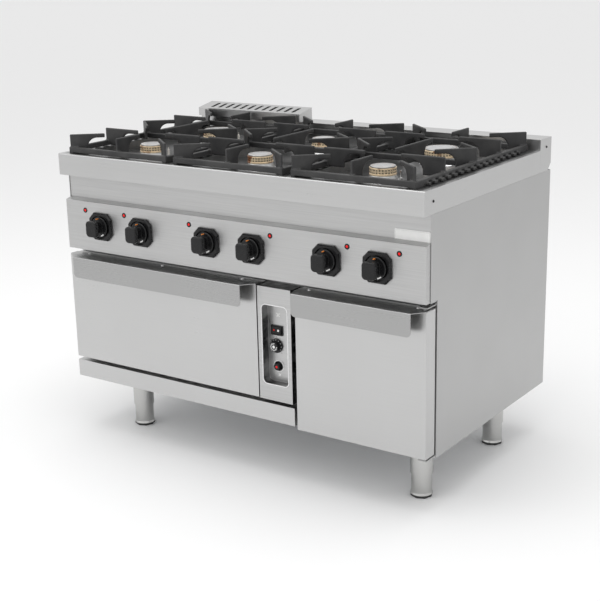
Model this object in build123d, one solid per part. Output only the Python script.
from build123d import *
import os
from math import atan2, degrees, hypot, pi

# A free-standing commercial gas range: six open burners in three columns, a gas oven below on the
# left, its controls in a column beside the door, and a closed cupboard on the right.
# Millimetres. +Z is up, the front faces -Y, X = 0 is the middle of the width, Z = 0 is the floor.
# Distances called "back" are measured from the front face of the hob rim towards the rear.

# Driving dimensions of the whole body
HALF_WIDTH = 600.0
RIM_FRONT = -349.0
DEPTH = 729.0
WORK_HEIGHT = 850.0
RIM_BOTTOM = 788.0
BODY_BOTTOM = 150.0
SHEET = 2.0
THIN = 1.5
INNER_HALF = HALF_WIDTH - SHEET
DEEP_FRONT = 69.0
FRAME_FRONT = 68.0
FRAME_BACK = FRAME_FRONT + SHEET
MID_FLOOR = 566.0

# Control panel and the strip above it
PANEL_FRONT = 15.6
PANEL_BOTTOM = 569.0
PANEL_TOP = 713.0
PANEL_DEPTH = 35.0
STRIP_FRONT = 37.0
KNOB_HEIGHT = 645.5
COLUMN_PITCH = 387.0
KNOB_SPREAD = 75.0
COLUMNS = (-COLUMN_PITCH, 0.0, COLUMN_PITCH)
KNOB_X = [column + side * KNOB_SPREAD for column in COLUMNS for side in (-1, 1)]

# Knobs, their spindles and bezels
BEZEL_WIDTH = 82.0
BEZEL_HEIGHT = 80.0
BEZEL_CORNER = 16.5
BEZEL_DEPTH = 10.0
BEZEL_FLOOR = 2.5
BEZEL_BEVEL = 5.0
DISH_RADIUS = 34.0
SKIRT_RADIUS = 30.0
SKIRT_BACK = 8.6
SKIRT_FRONT = 2.6
GRIP_FRONT = -31.0
SPINDLE_RADIUS = 4.0
RUNNING_GAP = 0.05
SPINDLE_BACK = 62.0

# Burners: large ones at the rear of the outer columns
BURNER_BACKS = (167.0, 478.0)
SMALL_BURNER = 33.0
LARGE_BURNER = 47.0
WELL_HALF = 166.0
WELL_FRONT = 29.0
WELL_BACK = 625.0
WELL_DEPTH = 22.0
WELL_CORNER = 20.0

# Pan supports
GRATE_HALF = 181.0
GRATE_FRONT = 14.0
GRATE_BACK = 640.0
GRATE_MIDDLE = 334.0
BAR_WIDTH = 13.0
BAR_BOTTOM = 853.0
BAR_TOP = 868.0
FINGER_TOP = 904.0
FINGER_THICK = 6.5
NOSE_THICK = 12.0
NOSE_RADIUS = 53.0
REAR_NOSE_RADIUS = 63.0
CORNER_NOSE_RADIUS = 134.0
NOTCH_PITCH = 34.0
NOTCH_COUNT = 15
NOTCH_MIDDLE = 322.0
NOTCH_RADIUS = 9.0
LEDGE_WIDTH = 9.0
LEDGE_BOTTOM = 851.0
LEDGE_TOP = 859.0
GRATE_FOOT = 40.0

# Oven, its door and hinge line
DOOR_FRONT = 18.0
DOOR_BACK = 64.0
DOOR_TOP = 549.0
OVEN_DOOR_X = (-598.0, 82.4)
OVEN_DOOR_BOTTOM = 231.0
OVEN_HINGE = (30.0, 240.0)
OVEN_HINGE_X = (-500.0, -15.0)
OVEN_PIN_RADIUS = 5.0
NOTCH_HALF = 5.0
MOUTH_X = (-545.0, 30.0)
MOUTH_Z = (250.0, 532.0)
LINER_BACK = 640.0
FLOOR_LEVEL = 284.0
SHELF_LEVELS = (346.0, 416.0, 486.0)
RUNNER_WIDTH = 15.0

# Cupboard and its door
CUPBOARD_DOOR_X = (208.0, 597.6)
CUPBOARD_DOOR_BOTTOM = 162.0
CUPBOARD_HINGE = (584.0, 34.0)
CUPBOARD_PIN_RADIUS = 4.0
CUPBOARD_MOUTH_X = (222.0, 575.0)
CUPBOARD_MOUTH_Z = (175.0, 535.0)
PARTITION_X = 200.0

# Handles: a top flange with a turned-down lip
LIP_FRONT = -16.0
LIP_BOTTOM = 490.0
LIP_CORNER = 12.0
FLANGE_BACK = 45.0
FOLD_RADIUS = 3.0
OVEN_LIP_X = (-556.0, 54.0)
CUPBOARD_LIP_X = (218.0, 572.0)

# Oven control column
COLUMN_X = (86.0, 194.0)
COLUMN_Z = (230.0, 547.0)
RECESS_X = (100.0, 181.0)
RECESS_Z = (277.0, 497.0)
RECESS_CORNER = 12.0
RECESS_FLOOR = 45.0
DIAL_AT = (127.0, 378.0)
SWITCH_AT = (130.0, 422.0)
IGNITER_AT = (132.0, 321.0)
SWITCH_HOUSING = (19.0, 14.0)
SWITCH_BODY = (17.0, 12.2)
SWITCH_POCKET = (16.0, 11.5)
ROCKER_SIZE = (31.0, 9.0, 20.8)
ROCKER_TILT = 7.0
ROCKER_PIVOT = 46.0

# Flue, gas pipes and feet
FLUE_X = (-600.0, -199.0)
FLUE_FRONT = 643.0
FLUE_BACK = 713.0
FLUE_BOTTOM = 881.0
FLUE_TOP_FRONT = 906.5
FLUE_TOP_BACK = 919.5
FLUE_SLOTS = 12
FLUE_SLOT_PITCH = 29.0
FLUE_FIRST_SLOT = -554.0
DUCT_X = (-540.0, -260.0)
DUCT_FRONT = 662.0
DUCT_BACK = 698.0
GUARD_FRONT = 656.0
GUARD_TOP = 881.0
MANIFOLD_BACK = 70.0
MANIFOLD_Z = 618.0
MANIFOLD_RADIUS = 10.0
TUBE_RADIUS = 4.0
INLET_X = 548.0
INLET_BORE = 9.3
FOOT_X = (-457.0, 518.0)
FOOT_BACKS = (143.0, 564.0)
FOOT_SLEEVE_RADIUS = 30.75
FOOT_INSERT_RADIUS = 28.0


def back(distance):
    """The Y of a place that lies this far behind the rim's front face."""
    return RIM_FRONT + distance


def block(x0, x1, b0, b1, z0, z1):
    """A box from corner to corner; b0 and b1 are distances behind the rim."""
    centre = Pos((x0 + x1) / 2, back((b0 + b1) / 2), (z0 + z1) / 2)
    return centre * Box(x1 - x0, b1 - b0, z1 - z0)


def rod_x(x0, x1, b, z, radius):
    """A round bar along X."""
    return Pos((x0 + x1) / 2, back(b), z) * Rot(0, 90, 0) * Cylinder(radius, x1 - x0)


def rod_y(x, b0, b1, z, radius):
    """A round bar along Y."""
    return Pos(x, back((b0 + b1) / 2), z) * Rot(90, 0, 0) * Cylinder(radius, b1 - b0)


def rod_z(x, b, z0, z1, radius):
    """A round bar along Z."""
    return Pos(x, back(b), (z0 + z1) / 2) * Cylinder(radius, z1 - z0)


def side_profile(points, x0, x1):
    """An outline of (back, height) points, made solid from x0 to x1."""
    outline = Polygon(*[(back(b), z) for b, z in points], align=None)
    return Pos(x0, 0, 0) * extrude(Plane.YZ * outline, x1 - x0, dir=(1, 0, 0))


def plan_profile(points, z0, z1):
    """An outline of (x, back) points, made solid from z0 to z1."""
    outline = Polygon(*[(x, back(b)) for x, b in points], align=None)
    return Pos(0, 0, z0) * extrude(Plane.XY * outline, z1 - z0, dir=(0, 0, 1))


def rounded_front(xs, zs, b0, b1, radius):
    """A block whose outline, seen from the front, is a rectangle with round corners."""
    face = RectangleRounded(xs[1] - xs[0], zs[1] - zs[0], radius)
    placed = Pos((xs[0] + xs[1]) / 2, back(b0), (zs[0] + zs[1]) / 2) * (Plane.XZ * face)
    return extrude(placed, b1 - b0, dir=(0, 1, 0))


def rounded_top(xs, bs, z0, z1, radius):
    """A block whose outline, seen from above, is a rectangle with round corners."""
    face = RectangleRounded(xs[1] - xs[0], bs[1] - bs[0], radius)
    placed = Pos((xs[0] + xs[1]) / 2, back((bs[0] + bs[1]) / 2), z0) * face
    return extrude(placed, z1 - z0, dir=(0, 0, 1))


def save(name, *shapes):
    """Writes one sub-part; each shape given is one or more separate solids."""
    solids = [solid for shape in shapes for solid in shape.solids()]
    export_step(Compound(solids), f"parts/{name}.step")


def burner_radius(column, burner_back):
    """The cap's radius: large at the rear of the outer columns."""
    outer_rear = column != 0 and burner_back == BURNER_BACKS[1]
    return LARGE_BURNER if outer_rear else SMALL_BURNER


BURNERS = [(column, b, burner_radius(column, b)) for column in COLUMNS for b in BURNER_BACKS]


# ---- casing ---------------------------------------------------------------------------------

def side_panel(side):
    """A side sheet whose front edge steps back beside the doors."""
    steps = [
        (PANEL_DEPTH, PANEL_BOTTOM),
        (DEEP_FRONT, PANEL_BOTTOM),
        (DEEP_FRONT, BODY_BOTTOM),
        (DEPTH, BODY_BOTTOM),
        (DEPTH, RIM_BOTTOM),
        (PANEL_DEPTH, RIM_BOTTOM),
    ]
    inner = min(side * INNER_HALF, side * HALF_WIDTH)
    return side_profile(steps, inner, inner + SHEET)


def back_panel():
    """The rear sheet, with ventilation slots and the gas inlet's hole."""
    panel = block(-INNER_HALF, INNER_HALF, DEPTH - SHEET, DEPTH, BODY_BOTTOM, RIM_BOTTOM)
    panel -= rod_y(INLET_X, DEPTH - 2 * SHEET, DEPTH + SHEET, MANIFOLD_Z, 20.0)
    for row in range(5):
        z = 700.0 + 14.0 * row
        for x in (-150.0, 0.0, 150.0):
            panel -= block(x - 55, x + 55, DEPTH - 2 * SHEET, DEPTH + SHEET, z, z + 5)
    return panel


def base_pan():
    rear = DEPTH - SHEET
    return block(-INNER_HALF, INNER_HALF, FRAME_FRONT, rear, BODY_BOTTOM, BODY_BOTTOM + SHEET)


def partition_wall():
    low = BODY_BOTTOM + SHEET
    return block(PARTITION_X, PARTITION_X + SHEET, FRAME_BACK, DEPTH - SHEET, low, MID_FLOOR)


def burner_box_floor():
    """The sheets between the burners' space and the oven, laid round the duct, with a pipe's hole."""
    zs = (MID_FLOOR, MID_FLOOR + SHEET)
    left, right = DUCT_X[0] - 1, DUCT_X[1] + 1
    front, rear = DUCT_FRONT - 1, DEPTH - SHEET
    main = block(-INNER_HALF, INNER_HALF, 40.0, front, *zs)
    main -= rod_z(DIAL_AT[0], MANIFOLD_BACK + 4, 550, 580, TUBE_RADIUS + 2)
    return [
        main,
        block(-INNER_HALF, left, front, rear, *zs),
        block(right, INNER_HALF, front, rear, *zs),
        block(left, right, DUCT_BACK + 1, rear, *zs),
    ]


def front_frame():
    """The flat frame behind the doors, with the oven's and the cupboard's mouths."""
    low = BODY_BOTTOM + SHEET
    frame = block(-INNER_HALF, INNER_HALF, FRAME_FRONT, FRAME_BACK, low, MID_FLOOR)
    frame -= block(*MOUTH_X, FRAME_FRONT - 5, FRAME_BACK + 5, *MOUTH_Z)
    frame -= block(*CUPBOARD_MOUTH_X, FRAME_FRONT - 5, FRAME_BACK + 5, *CUPBOARD_MOUTH_Z)
    frame -= block(RECESS_X[0], RECESS_X[1], FRAME_FRONT - 5, FRAME_BACK + 5, 290.0, 480.0)
    return frame


def plinth():
    """The kick strip below the oven door: a channel, open at the back."""
    body = block(-INNER_HALF, 199.4, DOOR_FRONT, 66.0, 169.0, 220.0)
    return body - block(-INNER_HALF + THIN, 199.4 - THIN, DOOR_FRONT + THIN, 70.0, 170.5, 218.5)


def hob_top():
    """The pressed hob: deck, skirts and three drip wells with the burners' holes."""
    deck = WORK_HEIGHT - SHEET
    well_floor = WORK_HEIGHT - WELL_DEPTH
    hob = block(-HALF_WIDTH, HALF_WIDTH, 0, GUARD_FRONT, RIM_BOTTOM, WORK_HEIGHT)
    hob = fillet(hob.edges().filter_by(Axis.X).group_by(Axis.Y)[0].sort_by(Axis.Z)[-1], 3.0)
    hob -= block(-INNER_HALF, INNER_HALF, SHEET, GUARD_FRONT + 1, RIM_BOTTOM - 1, deck)
    hob += block(-INNER_HALF, INNER_HALF, SHEET, 22.0, RIM_BOTTOM, RIM_BOTTOM + SHEET)
    for column in COLUMNS:
        xs = (column - WELL_HALF, column + WELL_HALF)
        outer_xs = (xs[0] - SHEET, xs[1] + SHEET)
        outer_bs = (WELL_FRONT - SHEET, WELL_BACK + SHEET)
        outer_z = well_floor - SHEET
        hob += rounded_top(outer_xs, outer_bs, outer_z, WORK_HEIGHT, WELL_CORNER + SHEET)
        hob -= rounded_top(xs, (WELL_FRONT, WELL_BACK), well_floor, WORK_HEIGHT + 1, WELL_CORNER)
    for column, b, radius in BURNERS:
        hob -= rod_z(column, b, well_floor - 10, WORK_HEIGHT + 5, radius - 2)
    return hob


def backguard():
    """The low upstand at the rear, open below, with the flue's opening in its top."""
    guard = block(-HALF_WIDTH, HALF_WIDTH, GUARD_FRONT, DEPTH, RIM_BOTTOM, GUARD_TOP)
    inner_bs = (GUARD_FRONT + SHEET, DEPTH - SHEET)
    guard -= block(-INNER_HALF, INNER_HALF, *inner_bs, 780.0, GUARD_TOP - SHEET)
    guard -= side_profile([(DEPTH - 20, 787), (DEPTH + 1, 787), (DEPTH + 1, 808)], -601, 601)
    return guard - block(DUCT_X[0] - 1, DUCT_X[1] + 1, DUCT_FRONT - 1, DUCT_BACK + 1, 870, 890)


def flue_box():
    """The flue's outlet: a box with a sloping slotted top that overhangs the upstand."""
    outer = [
        (FLUE_FRONT, FLUE_BOTTOM),
        (FLUE_BACK, FLUE_BOTTOM),
        (FLUE_BACK, FLUE_TOP_BACK),
        (FLUE_FRONT, FLUE_TOP_FRONT),
    ]
    inner = [
        (FLUE_FRONT + THIN, FLUE_BOTTOM + THIN),
        (FLUE_BACK - THIN, FLUE_BOTTOM + THIN),
        (FLUE_BACK - THIN, FLUE_TOP_BACK - 2 * THIN),
        (FLUE_FRONT + THIN, FLUE_TOP_FRONT - THIN),
    ]
    box = side_profile(outer, *FLUE_X) - side_profile(inner, FLUE_X[0] + THIN, FLUE_X[1] - THIN)
    box -= block(*DUCT_X, DUCT_FRONT, DUCT_BACK, FLUE_BOTTOM - 1, FLUE_BOTTOM + 2 * THIN)
    middle = (FLUE_FRONT + FLUE_BACK) / 2
    for i in range(FLUE_SLOTS):
        slot = RectangleRounded(12.0, 46.0, 5.5)
        placed = Pos(FLUE_FIRST_SLOT + FLUE_SLOT_PITCH * i, back(middle), FLUE_TOP_FRONT - 12) * slot
        box -= extrude(placed, 30.0, dir=(0, 0, 1))
    return box


def flue_duct():
    """The sheet duct from the oven's rear wall up to the flue outlet."""
    outer = [
        (LINER_BACK + SHEET, 480.0),
        (LINER_BACK + SHEET, 530.0),
        (DUCT_FRONT, 556.0),
        (DUCT_FRONT, FLUE_BOTTOM),
        (DUCT_BACK, FLUE_BOTTOM),
        (DUCT_BACK, 480.0),
    ]
    inner = [
        (LINER_BACK, 480.0 + THIN),
        (LINER_BACK, 529.0),
        (LINER_BACK + SHEET, 529.0),
        (DUCT_FRONT + THIN, 555.0),
        (DUCT_FRONT + THIN, FLUE_BOTTOM + 1),
        (DUCT_BACK - THIN, FLUE_BOTTOM + 1),
        (DUCT_BACK - THIN, 480.0 + THIN),
    ]
    return side_profile(outer, *DUCT_X) - side_profile(inner, DUCT_X[0] + THIN, DUCT_X[1] - THIN)


def fascia_strip():
    return block(-INNER_HALF, INNER_HALF, STRIP_FRONT, STRIP_FRONT + SHEET, 711.0, RIM_BOTTOM)


def control_panel():
    """The knob panel: front sheet, sloping top flange, bottom flange and side returns."""
    xs = (-INNER_HALF, INNER_HALF)
    flange_back = PANEL_DEPTH + 1
    flange_top = PANEL_TOP + 6
    panel = block(*xs, PANEL_FRONT, PANEL_FRONT + SHEET, PANEL_BOTTOM, PANEL_TOP)
    panel += block(*xs, PANEL_FRONT, PANEL_DEPTH, PANEL_BOTTOM, PANEL_BOTTOM + SHEET)
    slope = [
        (PANEL_FRONT, PANEL_TOP),
        (flange_back, flange_top),
        (flange_back, flange_top - SHEET),
        (PANEL_FRONT, PANEL_TOP - SHEET),
    ]
    panel += side_profile(slope, *xs)
    cheek = [
        (PANEL_FRONT, PANEL_BOTTOM),
        (PANEL_DEPTH, PANEL_BOTTOM),
        (PANEL_DEPTH, flange_top - 1),
        (PANEL_FRONT, PANEL_TOP - 1),
    ]
    panel += side_profile(cheek, xs[0], xs[0] + SHEET)
    panel += side_profile(cheek, xs[1] - SHEET, xs[1])
    for x in KNOB_X:
        panel -= rod_y(x, PANEL_FRONT - 5, PANEL_FRONT + 5, KNOB_HEIGHT, SPINDLE_RADIUS + 2)
    return panel


# ---- knobs, taps and gas pipes -------------------------------------------------------------

def octagon(x, b, inset):
    """The bezel's eight-sided outline at one distance back, drawn in by an inset all round."""
    w = BEZEL_WIDTH / 2 - inset
    h = BEZEL_HEIGHT / 2 - inset
    corner = BEZEL_CORNER - inset / 3
    outline = Polygon(
        (-w + corner, -h),
        (w - corner, -h),
        (w, -h + corner),
        (w, h - corner),
        (w - corner, h),
        (-w + corner, h),
        (-w, h - corner),
        (-w, -h + corner),
        align=None,
    )
    return Pos(x, back(b), KNOB_HEIGHT) * (Plane.XZ * outline)


def knob_bezel(x):
    """An eight-sided bezel with a bevelled front edge and a round dish for the knob."""
    front = PANEL_FRONT - BEZEL_DEPTH
    shoulder = front + BEZEL_BEVEL
    base = extrude(octagon(x, PANEL_FRONT, 0), PANEL_FRONT - shoulder, dir=(0, -1, 0))
    bezel = base + loft([octagon(x, shoulder, 0), octagon(x, front, 3)])
    bezel -= rod_y(x, front - 5, PANEL_FRONT - BEZEL_FLOOR, KNOB_HEIGHT, DISH_RADIUS)
    return bezel - rod_y(x, front - 5, PANEL_FRONT + 1, KNOB_HEIGHT, SPINDLE_RADIUS + 2)


def knob(x):
    """A round skirt carrying a flared grip, bored for its spindle."""
    neck_end = -13.0
    flare_end = -19.0
    neck_half = (13.0, 17.0, 8.0)
    head_half = (20.0, 23.0, 11.0)
    skirt = rod_y(x, SKIRT_FRONT, SKIRT_BACK, KNOB_HEIGHT, SKIRT_RADIUS)
    skirt = chamfer(skirt.edges().group_by(Axis.Y)[0], 2.0)
    neck = grip_block(x, neck_half, neck_end, SKIRT_FRONT)
    flare = loft([grip_face(x, neck_half, neck_end), grip_face(x, head_half, flare_end)])
    head = grip_block(x, head_half, GRIP_FRONT, flare_end)
    head = fillet(head.edges().group_by(Axis.Y)[0], 4.0)
    bore = rod_y(x, -12.0, SKIRT_BACK + 1, KNOB_HEIGHT, SPINDLE_RADIUS + RUNNING_GAP)
    return skirt + neck + flare + head - bore


def grip_face(x, half, b):
    """A round-cornered outline of the grip: half its width, half its height, corner radius."""
    width, height, radius = half
    return Pos(x, back(b), KNOB_HEIGHT) * (Plane.XZ * RectangleRounded(2 * width, 2 * height, radius))


def grip_block(x, half, b0, b1):
    return extrude(grip_face(x, half, b0), b1 - b0, dir=(0, 1, 0))


def tap_spindle(x):
    """The tap's spindle, which the knob is pushed in on."""
    return rod_y(x, -11.5, SPINDLE_BACK, KNOB_HEIGHT, SPINDLE_RADIUS)


def gas_tap(x):
    """A brass tap on the manifold, bored for the spindle."""
    body = block(x - 11, x + 11, 44.0, 80.0, 634.0, 657.0)
    body += rod_y(x, 36.0, 44.0, KNOB_HEIGHT, 8.0)
    body += rod_z(x, MANIFOLD_BACK, MANIFOLD_Z + MANIFOLD_RADIUS, 634.0, 6.0)
    return body - rod_y(x, 35.0, 70.0, KNOB_HEIGHT, SPINDLE_RADIUS + RUNNING_GAP)


def feed_tube(knob_x, column, burner_back):
    """A tube from a tap back, across and up to its burner."""
    route = FilletPolyline(
        (knob_x, back(80.0), KNOB_HEIGHT),
        (knob_x, back(burner_back), KNOB_HEIGHT),
        (column, back(burner_back), KNOB_HEIGHT),
        (column, back(burner_back), 745.0),
        radius=24.0,
    )
    section = Plane(origin=route @ 0, z_dir=route % 0) * Circle(TUBE_RADIUS)
    return sweep(section, path=route)


def gas_pipework():
    """Manifold, inlet pipe with its threaded connector, oven supply and six burner tubes."""
    manifold = rod_x(-575.0, 575.0, MANIFOLD_BACK, MANIFOLD_Z, MANIFOLD_RADIUS)
    inlet_start = MANIFOLD_BACK + MANIFOLD_RADIUS
    inlet = rod_y(INLET_X, inlet_start, 700.0, MANIFOLD_Z, MANIFOLD_RADIUS)
    hexagon = Pos(INLET_X, back(700.0), MANIFOLD_Z) * (Plane.XZ * RegularPolygon(17.0, 6))
    connector = extrude(hexagon, DEPTH - 700.0, dir=(0, 1, 0))
    connector -= rod_y(INLET_X, 712.0, DEPTH + 1, MANIFOLD_Z, INLET_BORE)
    oven_supply = rod_z(DIAL_AT[0], MANIFOLD_BACK + 4, 394.0, 608.0, TUBE_RADIUS)
    tubes = []
    for column in COLUMNS:
        outer = -1 if column <= 0 else 1
        tubes.append(feed_tube(column + outer * KNOB_SPREAD, column, BURNER_BACKS[1]))
        tubes.append(feed_tube(column - outer * KNOB_SPREAD, column, BURNER_BACKS[0]))
    return [manifold, inlet, connector, oven_supply, *tubes]


# ---- burners and pan supports --------------------------------------------------------------

def burner_body(column, b, radius):
    """The fixed burner cup: seat ring, cup, throat and injector holder."""
    seat = Pos(column, back(b), WORK_HEIGHT - WELL_DEPTH + 9) * Cone(radius + 8, radius + 1, 18.0)
    cup = rod_z(column, b, 800.0, 830.0, radius - 4)
    throat = rod_z(column, b, 755.0, 801.0, 15.0)
    return seat + cup + throat + rod_z(column, b, 745.0, 756.0, 9.0)


def burner_head(column, b, radius):
    """The lift-off head: a ported crown ring under a cap."""
    crown_low = WORK_HEIGHT - WELL_DEPTH + 18.5
    cap_low = crown_low + 19.5
    crown = rod_z(column, b, crown_low, cap_low, radius + 2.5)
    crown -= rod_z(column, b, crown_low - 1, cap_low + 1, radius - 4)
    for i in range(16):
        turn = 2 * pi * i / 16
        for z in (crown_low + 7, crown_low + 13):
            port = Rot(0, 90, 0) * Cylinder(1.1, 20.0)
            crown -= Pos(column, back(b), z) * (Rot(0, 0, degrees(turn)) * (Pos(radius, 0, 0) * port))
    cap = rod_z(column, b, cap_low, cap_low + 5.0, radius)
    cap = chamfer(cap.edges().group_by(Axis.Z)[-1], 1.5)
    return [crown, cap]


def finger(start, end):
    """A plate from the frame towards the burner, with an undercut nose at its inner end."""
    length = hypot(end[0] - start[0], end[1] - start[1])
    turn = degrees(atan2(end[1] - start[1], end[0] - start[0]))
    low = BAR_BOTTOM + 1
    nose_low = FINGER_TOP - NOSE_THICK
    leg = 0.50 * length
    throat = (0.60 * length, nose_low - 6)
    nose_start = (0.76 * length, nose_low)
    nose = Polyline((0, low), (0, FINGER_TOP), (length, FINGER_TOP), (length, nose_low), nose_start)
    curve = ThreePointArc(nose_start, throat, (leg, BAR_TOP))
    outline = nose + curve + Polyline((leg, BAR_TOP), (leg, low), (0, low))
    plate = extrude(Plane.XZ * make_face(outline), FINGER_THICK / 2, both=True)
    return Pos(start[0], back(start[1]), 0) * (Rot(0, 0, turn) * plate)


def finger_ends(column, b, front, rear):
    """Start and end of each finger round one burner: four sides and four corners."""
    reach = GRATE_HALF - 3
    sides = ((0, front), (-reach, b), (reach, b))
    corners = [(side * reach, edge) for side in (-1, 1) for edge in (front, rear)]
    fingers = [(x, y, NOSE_RADIUS) for x, y in sides]
    fingers += [(0, rear, REAR_NOSE_RADIUS)]
    fingers += [(x, y, CORNER_NOSE_RADIUS) for x, y in corners]
    ends = []
    for x, y, nose_radius in fingers:
        away = hypot(x, y - b)
        inner = (column + x * nose_radius / away, b + (y - b) * nose_radius / away)
        ends.append(((column + x, y), inner))
    return ends


def pan_support(column):
    """One casting over two burners: a frame with a middle bar, fingers, feet and edge notches."""
    xs = (column - GRATE_HALF, column + GRATE_HALF)
    grate = block(*xs, GRATE_FRONT, GRATE_BACK, BAR_BOTTOM, BAR_TOP)
    inner = (xs[0] + BAR_WIDTH, xs[1] - BAR_WIDTH)
    front_edge = GRATE_MIDDLE - BAR_WIDTH / 2
    rear_edge = GRATE_MIDDLE + BAR_WIDTH / 2
    grate -= block(*inner, GRATE_FRONT + BAR_WIDTH, front_edge, BAR_BOTTOM - 1, BAR_TOP + 1)
    grate -= block(*inner, rear_edge, GRATE_BACK - BAR_WIDTH, BAR_BOTTOM - 1, BAR_TOP + 1)
    half_row = NOTCH_PITCH * (NOTCH_COUNT - 1) / 2
    ledge_bs = (NOTCH_MIDDLE - half_row - 17, NOTCH_MIDDLE + half_row + 17)
    grate += block(xs[0] - LEDGE_WIDTH, xs[0] + 1, *ledge_bs, LEDGE_BOTTOM, LEDGE_TOP)
    grate += block(xs[1] - 1, xs[1] + LEDGE_WIDTH, *ledge_bs, LEDGE_BOTTOM, LEDGE_TOP)
    for i in range(NOTCH_COUNT):
        notch_back = NOTCH_MIDDLE - half_row + NOTCH_PITCH * i
        for x in (xs[0] - 4, xs[1] + 4):
            grate -= rod_z(x, notch_back, LEDGE_BOTTOM - 1, LEDGE_TOP + 1, NOTCH_RADIUS)
    zones = (
        (BURNER_BACKS[0], GRATE_FRONT + 3, GRATE_MIDDLE + 1),
        (BURNER_BACKS[1], GRATE_MIDDLE - 1, GRATE_BACK - 3),
    )
    for b, front, rear in zones:
        for start, end in finger_ends(column, b, front, rear):
            grate += finger(start, end)
    for x in (xs[0], xs[1] - BAR_WIDTH):
        for b in (GRATE_FRONT, GRATE_BACK - GRATE_FOOT):
            grate += block(x, x + BAR_WIDTH, b, b + GRATE_FOOT, WORK_HEIGHT, BAR_TOP - 1)
    return grate


# ---- oven ----------------------------------------------------------------------------------

LINER_X = (MOUTH_X[0] - SHEET, MOUTH_X[1] + SHEET)
LINER_Z = (MOUTH_Z[0] - SHEET, MOUTH_Z[1] + SHEET)
FLUE_HOLE_X = (-500.0, -300.0)
FLUE_HOLE_Z = (490.0, 526.0)


def oven_liner():
    """The oven's inner box as its welded plates, with floor ledges and shelf runners."""
    rear = (LINER_BACK, LINER_BACK + SHEET)
    pieces = [
        block(*LINER_X, *rear, LINER_Z[0], FLUE_HOLE_Z[0]),
        block(*LINER_X, *rear, FLUE_HOLE_Z[1], LINER_Z[1]),
        block(LINER_X[0], FLUE_HOLE_X[0], *rear, *FLUE_HOLE_Z),
        block(FLUE_HOLE_X[1], LINER_X[1], *rear, *FLUE_HOLE_Z),
    ]
    for z in (LINER_Z[0], MOUTH_Z[1]):
        pieces.append(block(*LINER_X, FRAME_BACK, LINER_BACK, z, z + SHEET))
    for x in (LINER_X[0], MOUTH_X[1]):
        pieces.append(block(x, x + SHEET, FRAME_BACK, LINER_BACK, *MOUTH_Z))
    for level in (FLOOR_LEVEL, *SHELF_LEVELS):
        for x in (MOUTH_X[0], MOUTH_X[1] - RUNNER_WIDTH):
            runner = block(x, x + RUNNER_WIDTH, FRAME_BACK + 10, LINER_BACK, level - 3, level)
            pieces.append(runner)
    return pieces


def oven_insulation():
    """Mineral wool wrapped round the liner."""
    wool = block(-596.0, 84.0, FRAME_BACK + 1, 700.0, 224.0, 562.0)
    wool -= block(*LINER_X, FRAME_BACK - 1, LINER_BACK + SHEET, *LINER_Z)
    return wool - block(*DUCT_X, LINER_BACK + SHEET, 701.0, 480.0, 563.0)


def oven_floor_plate():
    xs = (MOUTH_X[0] + 3, MOUTH_X[1] - 3)
    plate = block(*xs, FRAME_BACK + 6, LINER_BACK - 6, FLOOR_LEVEL, FLOOR_LEVEL + 3)
    for x in (-500.0, -30.0):
        plate -= rounded_top((x - 10, x + 10), (140.0, 580.0), 280.0, 290.0, 8.0)
    return plate


def oven_shelf():
    """A wire shelf: a round-bar frame with wires from front to back lying on its cross bars."""
    z = SHELF_LEVELS[0] + 4.05
    left = MOUTH_X[0] + 7
    right = MOUTH_X[1] - 7
    frame = rod_y(left, 92.0, 628.0, z, 4.0) + rod_y(right, 92.0, 628.0, z, 4.0)
    for b in (98.0, 360.0, 622.0):
        frame += rod_x(left, right, b, z, 3.5)
    wire_count = 13
    pitch = (right - left) / (wire_count + 1)
    wires = [rod_y(left + pitch * (i + 1), 96.0, 624.0, z + 6.05, 2.5) for i in range(wire_count)]
    return [frame, *wires]


def oven_burner():
    """The ported tube under the oven floor, with its mixing cone and two brackets."""
    x = -257.0
    tube = rod_y(x, 110.0, 600.0, 266.0, 12.0) + rod_y(x, 86.0, 111.0, 266.0, 8.0)
    for b in (150.0, 560.0):
        tube += block(x - 10, x + 10, b, b + 3, MOUTH_Z[0], 266.0)
    for i in range(18):
        tube -= rod_x(x - 14, x + 14, 130.0 + 26.0 * i, 270.0, 1.2)
    return tube


def oven_door_seal():
    """A flat rope gasket round the oven's mouth."""
    outer_xs = (MOUTH_X[0] - 14, MOUTH_X[1] + 14)
    outer_zs = (MOUTH_Z[0] - 1, MOUTH_Z[1] + 12)
    inner_xs = (MOUTH_X[0] - 4, MOUTH_X[1] + 4)
    inner_zs = (MOUTH_Z[0] + 7, MOUTH_Z[1] + 4)
    rope = rounded_front(outer_xs, outer_zs, FRAME_FRONT - 2, FRAME_FRONT, 8.0)
    return rope - rounded_front(inner_xs, inner_zs, FRAME_FRONT - 3, FRAME_FRONT + 1, 4.0)


# ---- doors, handles and hinges ---------------------------------------------------------------

def door_pan(xs, zs):
    """A folded door skin, open at the back."""
    skin = block(*xs, DOOR_FRONT, DOOR_BACK, *zs)
    inner_xs = (xs[0] + THIN, xs[1] - THIN)
    inner_zs = (zs[0] + THIN, zs[1] - THIN)
    return skin - block(*inner_xs, DOOR_FRONT + THIN, DOOR_BACK + 1, *inner_zs)


def hinge_slot(x):
    """The slot in the oven door's lower edge that its hinge arm passes through."""
    return block(x - NOTCH_HALF, x + NOTCH_HALF, 22.0, DOOR_BACK + 1, 230.0, 254.0)


def oven_door_outer():
    skin = door_pan(OVEN_DOOR_X, (OVEN_DOOR_BOTTOM, DOOR_TOP))
    for x in OVEN_HINGE_X:
        skin -= hinge_slot(x)
    return skin


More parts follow.
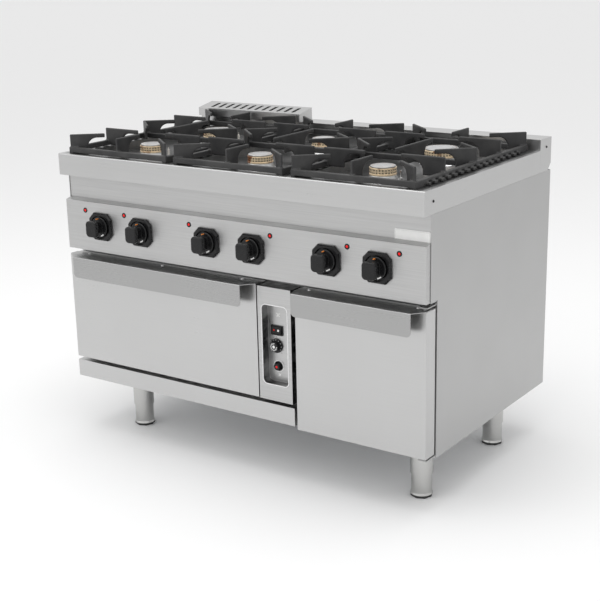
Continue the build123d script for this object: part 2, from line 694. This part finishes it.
def oven_door_inner():
    """The door's inner sheet with a raised panel and four welded hinge blocks."""
    xs = (OVEN_DOOR_X[0] + THIN, OVEN_DOOR_X[1] - THIN)
    sheet = block(*xs, DOOR_BACK - SHEET, DOOR_BACK, OVEN_DOOR_BOTTOM + THIN, DOOR_TOP - THIN)
    for x in OVEN_HINGE_X:
        sheet += block(x - 17, x + 17, 21.0, DOOR_BACK - SHEET, OVEN_DOOR_BOTTOM + THIN, 254.0)
        sheet -= hinge_slot(x)
        sheet -= block(x - NOTCH_HALF, x + NOTCH_HALF, 20.0, DOOR_BACK + 1, 230.0, 255.0)
        sheet -= rod_x(x - 16, x + 16, *OVEN_HINGE, OVEN_PIN_RADIUS + RUNNING_GAP)
    return sheet


def oven_door_insulation():
    xs = (OVEN_DOOR_X[0] + 2, OVEN_DOOR_X[1] - 2)
    return block(*xs, DOOR_FRONT + THIN + 0.2, DOOR_BACK - SHEET - 0.2, 256.0, DOOR_TOP - 2)


def handle(door_xs, lip_xs):
    """A folded sheet handle: a flange on the door's top edge and a lip turned down in front."""
    top = DOOR_TOP + SHEET
    fold_back = LIP_FRONT + FOLD_RADIUS
    outline = [
        (door_xs[0], FLANGE_BACK),
        (door_xs[0], DOOR_FRONT),
        (lip_xs[0], fold_back),
        (lip_xs[1], fold_back),
        (door_xs[1], DOOR_FRONT),
        (door_xs[1], FLANGE_BACK),
    ]
    flange = plan_profile(outline, DOOR_TOP, top)
    section = Polygon(
        (back(LIP_FRONT), LIP_BOTTOM),
        (back(LIP_FRONT + SHEET), LIP_BOTTOM),
        (back(LIP_FRONT + SHEET), DOOR_TOP),
        (back(fold_back), DOOR_TOP),
        (back(fold_back), top),
        (back(LIP_FRONT), top),
        align=None,
    )
    section = fillet(section.vertices().group_by(Axis.X)[0].sort_by(Axis.Y)[-1], FOLD_RADIUS - 0.1)
    bent = Pos(lip_xs[0], 0, 0) * extrude(Plane.YZ * section, lip_xs[1] - lip_xs[0], dir=(1, 0, 0))
    for x, inward in ((lip_xs[0], 1), (lip_xs[1], -1)):
        corner = block(*sorted((x - inward, x + inward * LIP_CORNER)), LIP_FRONT - 1, fold_back,
                       LIP_BOTTOM - 1, LIP_BOTTOM + LIP_CORNER)
        middle = x + inward * LIP_CORNER
        corner -= rod_y(middle, LIP_FRONT - 2, fold_back + 1, LIP_BOTTOM + LIP_CORNER, LIP_CORNER)
        bent -= corner
    hem_xs = (lip_xs[0] + LIP_CORNER, lip_xs[1] - LIP_CORNER)
    hem = block(*hem_xs, LIP_FRONT + 1, LIP_FRONT + 9, LIP_BOTTOM, LIP_BOTTOM + THIN)
    return flange + bent + hem


def oven_door_handle():
    return handle((OVEN_DOOR_X[0] + 1, OVEN_DOOR_X[1] - 1), OVEN_LIP_X)


def cupboard_pin_hole(z0, z1, radius):
    return rod_z(*CUPBOARD_HINGE, z0, z1, radius)


def cupboard_door_outer():
    skin = door_pan(CUPBOARD_DOOR_X, (CUPBOARD_DOOR_BOTTOM, DOOR_TOP))
    skin -= cupboard_pin_hole(160.0, 166.0, CUPBOARD_PIN_RADIUS + 0.6)
    return skin - cupboard_pin_hole(546.0, 552.0, CUPBOARD_PIN_RADIUS + 0.6)


def cupboard_door_inner():
    """The cupboard door's inner sheet with two welded hinge blocks."""
    xs = (CUPBOARD_DOOR_X[0] + THIN, CUPBOARD_DOOR_X[1] - THIN)
    low = CUPBOARD_DOOR_BOTTOM + THIN
    high = DOOR_TOP - THIN
    sheet = block(*xs, DOOR_BACK - SHEET, DOOR_BACK, low, high)
    sheet += block(572.0, xs[1], 22.0, DOOR_BACK - SHEET, low, 186.0)
    sheet += block(572.0, xs[1], 22.0, DOOR_BACK - SHEET, 525.0, high)
    radius = CUPBOARD_PIN_RADIUS + RUNNING_GAP
    return sheet - cupboard_pin_hole(160.0, 181.0, radius) - cupboard_pin_hole(530.0, 552.0, radius)


def cupboard_door_handle():
    plain = handle((CUPBOARD_DOOR_X[0] + 0.5, CUPBOARD_DOOR_X[1] - 0.5), CUPBOARD_LIP_X)
    return plain - cupboard_pin_hole(548.0, 552.0, CUPBOARD_PIN_RADIUS + 0.6)


def hinge_brackets():
    """The oven's hinge arms with their pins, and the cupboard's two pin brackets."""
    pieces = []
    for x in OVEN_HINGE_X:
        arm = block(x - 3, x + 3, OVEN_HINGE[0], FRAME_FRONT, 233.5, 246.5)
        arm += rod_x(x - 3, x + 3, *OVEN_HINGE, 6.5)
        arm -= rod_x(x - 4, x + 4, *OVEN_HINGE, OVEN_PIN_RADIUS + 0.02)
        pieces += [arm, rod_x(x - 15, x + 15, *OVEN_HINGE, OVEN_PIN_RADIUS)]
    for plate_low, pin_low, pin_high in ((155.0, 158.0, 180.0), (556.0, 532.0, 556.0)):
        bracket = block(573.0, 597.0, 24.0, FRAME_FRONT, plate_low, plate_low + 3)
        bracket += rod_z(*CUPBOARD_HINGE, pin_low - 1, pin_high + 1, CUPBOARD_PIN_RADIUS)
        pieces.append(bracket)
    return pieces


# ---- oven control column -------------------------------------------------------------------

def oven_control_fascia():
    """The column beside the oven door, with a deep round-cornered recess for the controls."""
    shell = block(*COLUMN_X, DOOR_FRONT, 66.0, *COLUMN_Z)
    inner_xs = (COLUMN_X[0] + THIN, COLUMN_X[1] - THIN)
    inner_zs = (COLUMN_Z[0] + THIN, COLUMN_Z[1] - THIN)
    shell -= block(*inner_xs, DOOR_FRONT + THIN, 67.0, *inner_zs)
    wide_xs = (RECESS_X[0] - THIN, RECESS_X[1] + THIN)
    wide_zs = (RECESS_Z[0] - THIN, RECESS_Z[1] + THIN)
    shell += rounded_front(wide_xs, wide_zs, DOOR_FRONT, RECESS_FLOOR + THIN, RECESS_CORNER + THIN)
    shell -= rounded_front(RECESS_X, RECESS_Z, DOOR_FRONT - 1, RECESS_FLOOR, RECESS_CORNER)
    shell -= rod_y(DIAL_AT[0], 44.0, 50.0, DIAL_AT[1], 3.6)
    shell -= rod_y(IGNITER_AT[0], 44.0, 50.0, IGNITER_AT[1], 3.6)
    return shell - switch_block(SWITCH_BODY[0] + 0.5, SWITCH_BODY[1] + 0.5, 44.0, 50.0)


def switch_block(wide, high, b0, b1):
    """A block round the rocker switch's middle, by half its width and half its height."""
    x, z = SWITCH_AT
    return block(x - wide, x + wide, b0, b1, z - high, z + high)


def oven_control_bodies():
    """Thermostat with its shaft, rocker switch housing and igniter body."""
    x, z = DIAL_AT
    thermostat = block(x - 16, x + 16, RECESS_FLOOR + THIN, 85.0, z - 16, z + 16)
    thermostat += rod_y(x, 33.0, 47.0, z, 3.0)
    x, z = SWITCH_AT
    wide, high = SWITCH_HOUSING
    housing = rounded_front((x - wide, x + wide), (z - high, z + high), 42.0, RECESS_FLOOR, 2.0)
    housing += switch_block(*SWITCH_BODY, RECESS_FLOOR, 70.0)
    housing -= switch_block(*SWITCH_POCKET, 41.0, 52.0)
    housing -= rod_x(x - wide, x + wide, ROCKER_PIVOT, z, 1.55)
    x, z = IGNITER_AT
    igniter = rod_y(x, RECESS_FLOOR + THIN, 75.0, z, 9.0)
    igniter -= rod_y(x, 46.0, 60.0, z, 3.0 + RUNNING_GAP)
    return [thermostat, housing, igniter]


def thermostat_dial():
    x, z = DIAL_AT
    dial = rod_y(x, 41.0, 44.5, z, 20.0)
    grip = rod_y(x, 30.0, 41.0, z, 13.0)
    grip = fillet(grip.edges().group_by(Axis.Y)[0], 2.0)
    return dial + grip - rod_y(x, 32.5, 45.0, z, 3.0 + RUNNING_GAP)


def switch_rocker():
    """The rocker, tilted to its off side, with its pivot stubs."""
    x, z = SWITCH_AT
    rocker = Box(*ROCKER_SIZE)
    rocker = fillet(rocker.edges().filter_by(Axis.X).group_by(Axis.Y)[0], 1.5)
    pin = Pos(0, 2.5, 0) * (Rot(0, 90, 0) * Cylinder(1.5, 33.6))
    tilted = Rot(-ROCKER_TILT, 0, 0) * (Pos(0, -2.5, 0) * (rocker + pin))
    return Pos(x, back(ROCKER_PIVOT), z) * tilted


def igniter_button():
    x, z = IGNITER_AT
    cone = Pos(x, back(38.1), z) * (Rot(90, 0, 0) * Cone(13.5, 9.0, 8.2))
    return cone + rod_y(x, 42.0, 55.0, z, 3.0)


# ---- feet ----------------------------------------------------------------------------------

FEET = [(x, b) for x in FOOT_X for b in FOOT_BACKS]


def foot_sleeve(x, b):
    """The upper tube of a foot on its mounting plate."""
    sleeve = block(x - 45, x + 45, b - 45, b + 45, BODY_BOTTOM - 3, BODY_BOTTOM)
    sleeve += rod_z(x, b, 66.0, BODY_BOTTOM - 2, FOOT_SLEEVE_RADIUS)
    return sleeve - rod_z(x, b, 60.0, BODY_BOTTOM - 6, FOOT_INSERT_RADIUS + 0.1)


def foot_insert(x, b):
    """The lower tube of a foot with its flared, eight-sided base."""
    insert = rod_z(x, b, 8.0, 130.0, FOOT_INSERT_RADIUS)
    insert += Pos(x, back(b), 12.0) * Cone(30.5, FOOT_INSERT_RADIUS, 8.0)
    base = extrude(Pos(x, back(b), 0) * RegularPolygon(30.5, 8), 8.0, dir=(0, 0, 1))
    base = chamfer(base.edges().group_by(Axis.Z)[0], 2.0)
    return insert + base


os.makedirs("parts", exist_ok=True)

save("side_panel_left", side_panel(-1))
save("side_panel_right", side_panel(1))
save("back_panel", back_panel())
save("base_pan", base_pan())
save("partition_wall", partition_wall())
save("burner_box_floor", *burner_box_floor())
save("front_frame", front_frame())
save("plinth", plinth())
save("hob_top", hob_top())
save("backguard", backguard())
save("flue_box", flue_box())
save("flue_duct", flue_duct())
save("fascia_strip", fascia_strip())
save("control_panel", control_panel())
save("knob_bezels", *[knob_bezel(x) for x in KNOB_X])
save("gas_taps", *[gas_tap(x) for x in KNOB_X])
save("gas_pipework", *gas_pipework())
save("burner_bodies", *[burner_body(*burner) for burner in BURNERS])
save("oven_liner", *oven_liner())
save("oven_insulation", oven_insulation())
save("oven_floor_plate", oven_floor_plate())
save("oven_shelf", *oven_shelf())
save("oven_burner", oven_burner())
save("oven_door_seal", oven_door_seal())
save("hinge_brackets", *hinge_brackets())
save("oven_control_fascia", oven_control_fascia())
save("oven_control_bodies", *oven_control_bodies())
save("foot_sleeves", *[foot_sleeve(*foot) for foot in FEET])
save("foot_inserts", *[foot_insert(*foot) for foot in FEET])
save("oven_door_outer", oven_door_outer())
save("oven_door_inner", oven_door_inner())
save("oven_door_insulation", oven_door_insulation())
save("oven_door_handle", oven_door_handle())
save("cupboard_door_outer", cupboard_door_outer())
save("cupboard_door_inner", cupboard_door_inner())
save("cupboard_door_handle", cupboard_door_handle())
save("thermostat_dial", thermostat_dial())
save("switch_rocker", switch_rocker())
save("igniter_button", igniter_button())
for number, x in enumerate(KNOB_X, 1):
    save(f"knob_{number}", knob(x))
    save(f"tap_spindle_{number}", tap_spindle(x))
for number, burner in enumerate(BURNERS, 1):
    save(f"burner_head_{number}", *burner_head(*burner))
for name, column in zip(("left", "middle", "right"), COLUMNS):
    save(f"pan_support_{name}", pan_support(column))
